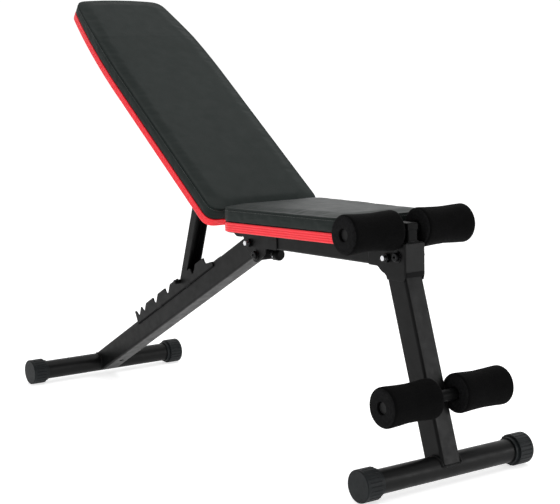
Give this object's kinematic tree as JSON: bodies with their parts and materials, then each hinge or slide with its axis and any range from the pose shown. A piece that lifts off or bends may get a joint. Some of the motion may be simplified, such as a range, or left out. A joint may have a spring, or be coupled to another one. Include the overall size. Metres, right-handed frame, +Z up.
{
  "type": "decline sit up bench",
  "caption": "Adjustable decline sit up bench with tapered padded seat and backrest, toothed rack with support strut, foam leg rollers and capped floor tubes.",
  "frame": {"origin": "centre of the bounding box's footprint, on the floor", "axes": "+X along the bench to the foot end, +Z up, Y across the bench with the object symmetric about Y = 0 apart from bolt heads and nuts"},
  "size_m": [1.3438, 0.426, 0.9337],
  "materials": {
    "frame_paint": "satin",
    "black_fastener": "satin",
    "zinc_steel": "satin",
    "upholstery": "satin",
    "edge_band": "satin",
    "plywood": "matte",
    "roller_foam": "matte",
    "cap_plastic": "matte",
    "plug_plastic": "matte",
    "knob_plastic": "gloss"
  },
  "bodies": {
    "frame": {"back_hinge_bolt": "black_fastener", "back_hinge_bolt_nut": "black_fastener", "back_hinge_bolt_washers": "black_fastener", "front_bracket": "frame_paint", "front_cap_left": "cap_plastic", "front_cap_right": "cap_plastic", "front_floor_tube": "frame_paint", "front_leg": "frame_paint", "leg_front_bolt": "black_fastener", "leg_front_bolt_nut": "black_fastener", "leg_front_bolt_washers": "black_fastener", "leg_rear_bolt": "zinc_steel", "leg_rear_bolt_nut": "black_fastener", "lower_rod_plugs": "plug_plastic", "lower_roller_rod": "frame_paint", "plunger_barrel": "zinc_steel", "plunger_plate": "frame_paint", "rack_plate_left": "frame_paint", "rack_plate_right": "frame_paint", "rear_cap_left": "cap_plastic", "rear_cap_right": "cap_plastic", "rear_floor_tube": "frame_paint", "rear_hinge_plate_left": "frame_paint", "rear_hinge_plate_right": "frame_paint", "rear_support_beam": "frame_paint", "roller_base_plate": "frame_paint", "roller_clamp": "plug_plastic", "roller_post": "frame_paint", "seat_beam": "frame_paint", "seat_board": "plywood", "seat_bolts": "black_fastener", "seat_edge_band": "edge_band", "seat_pad": "upholstery", "support_hinge_tongue": "frame_paint", "support_pivot_bolt": "black_fastener", "support_pivot_bolt_nut": "black_fastener", "support_pivot_bolt_washers": "black_fastener", "support_pivot_spacers": "black_fastener", "support_stop_bolt": "zinc_steel", "support_stop_bolt_nut": "black_fastener", "upper_rod_plugs": "plug_plastic", "upper_roller_rod": "frame_paint"},
    "backrest": {"back_board": "plywood", "back_edge_band": "edge_band", "back_pad": "upholstery", "back_rail": "frame_paint", "back_rail_screws": "black_fastener", "back_hinge_gusset": "frame_paint", "back_hinge_bush": "black_fastener", "strut_washers": "black_fastener", "strut_bolt": "black_fastener", "strut_bolt_nut": "black_fastener"},
    "strut": {"support_strut": "frame_paint", "strut_cross_pin": "frame_paint"},
    "lock_plunger": {"plunger_pin": "zinc_steel", "plunger_knob": "knob_plastic"},
    "lower_roller_left": {"lower_foam_left": "roller_foam"},
    "lower_roller_right": {"lower_foam_right": "roller_foam"},
    "upper_roller_left": {"upper_foam_left": "roller_foam"},
    "upper_roller_right": {"upper_foam_right": "roller_foam"}
  },
  "joints": [
    {"name": "backrest_tilt", "type": "hinge", "parent": "frame", "child": "backrest", "pos_m": [0.0423, 0, 0.4358], "axis": [0, 1, 0], "range_deg": [0, 31]},
    {"name": "strut_swing", "type": "hinge", "parent": "backrest", "child": "strut", "pos_m": [-0.12011, 0, 0.56577], "axis": [0, 1, 0], "range_deg": [-22.35, 0]},
    {"name": "lock_plunger_pull", "type": "slide", "parent": "frame", "child": "lock_plunger", "axis": [1, 0, 0], "range_m": [0, 0.008], "stiffness_N_per_m": 1500, "springref_m": -0.01},
    {"name": "lower_roller_left_turn", "type": "hinge", "parent": "frame", "child": "lower_roller_left", "pos_m": [0.63631, 0, 0.16], "axis": [0, 1, 0], "continuous": true},
    {"name": "lower_roller_right_turn", "type": "hinge", "parent": "frame", "child": "lower_roller_right", "pos_m": [0.63631, 0, 0.16], "axis": [0, 1, 0], "continuous": true},
    {"name": "upper_roller_left_turn", "type": "hinge", "parent": "frame", "child": "upper_roller_left", "pos_m": [0.536, 0, 0.459], "axis": [0, 1, 0], "continuous": true},
    {"name": "upper_roller_right_turn", "type": "hinge", "parent": "frame", "child": "upper_roller_right", "pos_m": [0.536, 0, 0.459], "axis": [0, 1, 0], "continuous": true}
  ],
  "couplings": [
    {"joint": "strut_swing", "follows": "backrest_tilt", "ratio": -0.72}
  ]
}
